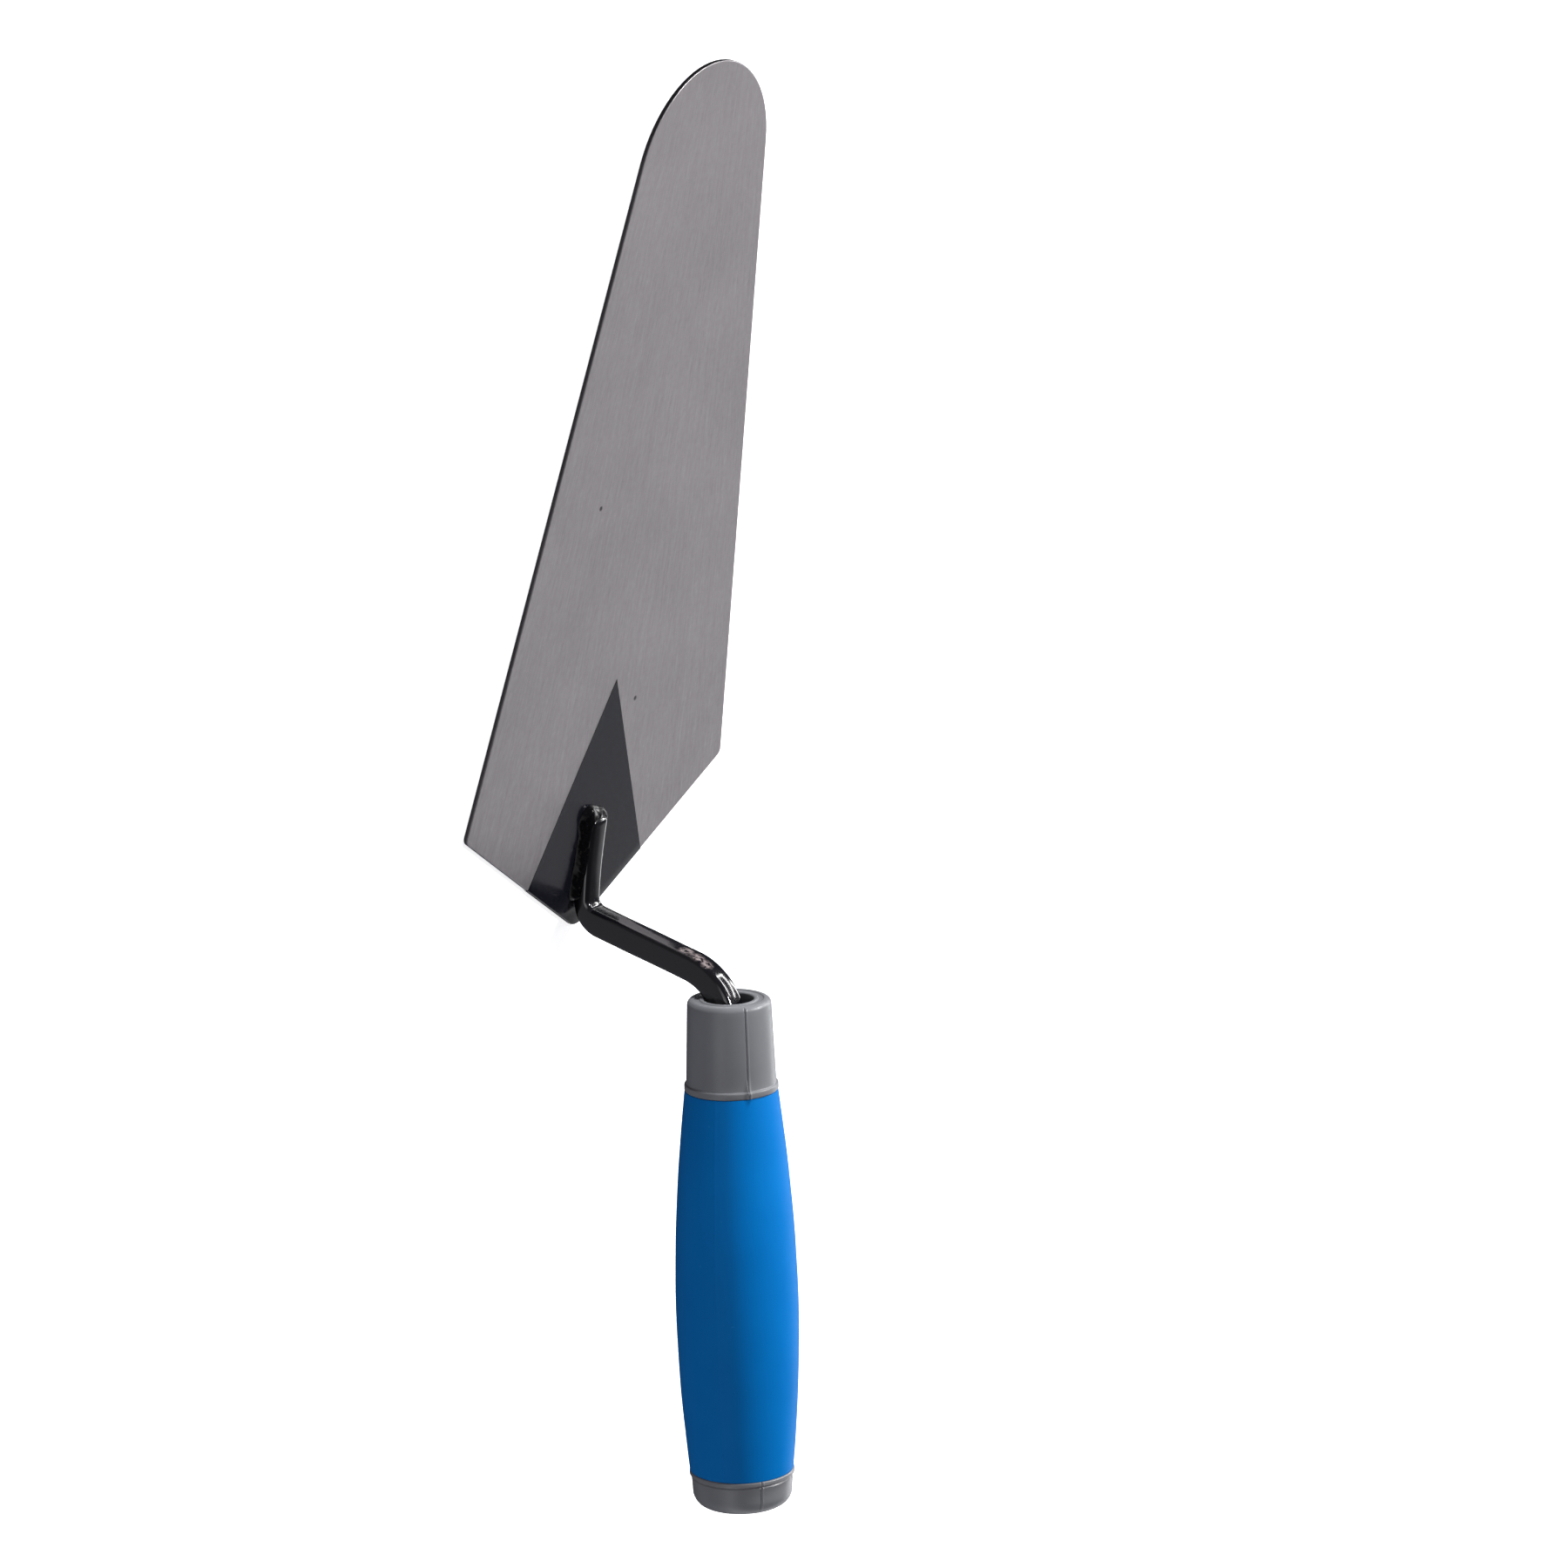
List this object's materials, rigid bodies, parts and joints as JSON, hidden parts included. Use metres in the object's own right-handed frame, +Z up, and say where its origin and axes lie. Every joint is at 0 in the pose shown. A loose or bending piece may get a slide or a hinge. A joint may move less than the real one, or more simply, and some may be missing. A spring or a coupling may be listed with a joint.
{
  "type": "brick trowel",
  "caption": "Round-nosed brick trowel: flat kite-shaped steel blade, cranked square tang welded to its heel, and a soft-grip moulded handle.",
  "frame": {"origin": "on the blade's flat underside, on the centre line, where the blade is widest (the line between its two shoulders)", "axes": "+X along the blade to its round tip, +Y to the blade's left, +Z up out of the blade towards the handle side"},
  "size_m": [0.3565, 0.1124, 0.0892],
  "materials": {
    "blade_steel": "lengthwise brushed, bare steel",
    "black_lacquer": "gloss black lacquer over forged steel",
    "grey_plastic": "satin moulded grey",
    "blue_grip": "matte soft-touch blue"
  },
  "bodies": {
    "root": {"blade": "blade_steel", "tang": "black_lacquer", "weld_bead_left": "black_lacquer", "weld_bead_right": "black_lacquer", "weld_bead_toe": "black_lacquer", "handle_core": "grey_plastic", "grip_sleeve": "blue_grip", "end_cap": "grey_plastic"}
  },
  "joints": []
}
